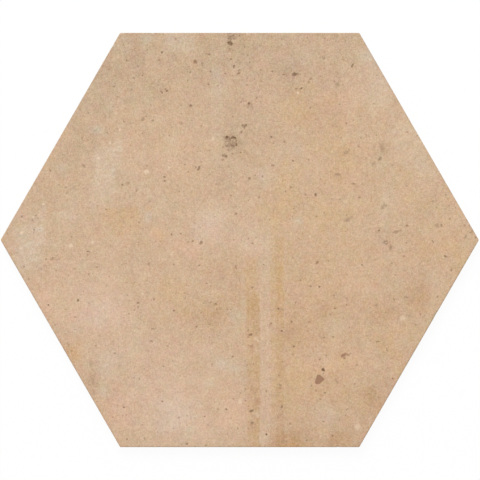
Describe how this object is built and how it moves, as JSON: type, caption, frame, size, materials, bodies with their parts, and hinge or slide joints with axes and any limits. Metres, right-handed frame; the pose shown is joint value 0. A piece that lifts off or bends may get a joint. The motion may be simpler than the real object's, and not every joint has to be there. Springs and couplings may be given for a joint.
{
  "type": "hexagon floor tile",
  "caption": "Flat hexagonal fired floor tile with a matt mottled beige face, softly rounded edges and a back keyed with shallow recesses.",
  "frame": {"origin": "middle of the back, on the plane of the back that the tile is bedded on", "axes": "+Z out of the face, +X towards a corner, +Y towards the middle of a side"},
  "size_m": [0.3288, 0.285, 0.009],
  "materials": {
    "fired_tile": "matt"
  },
  "bodies": {
    "root": {"hexagon_tile": "fired_tile"}
  },
  "joints": []
}
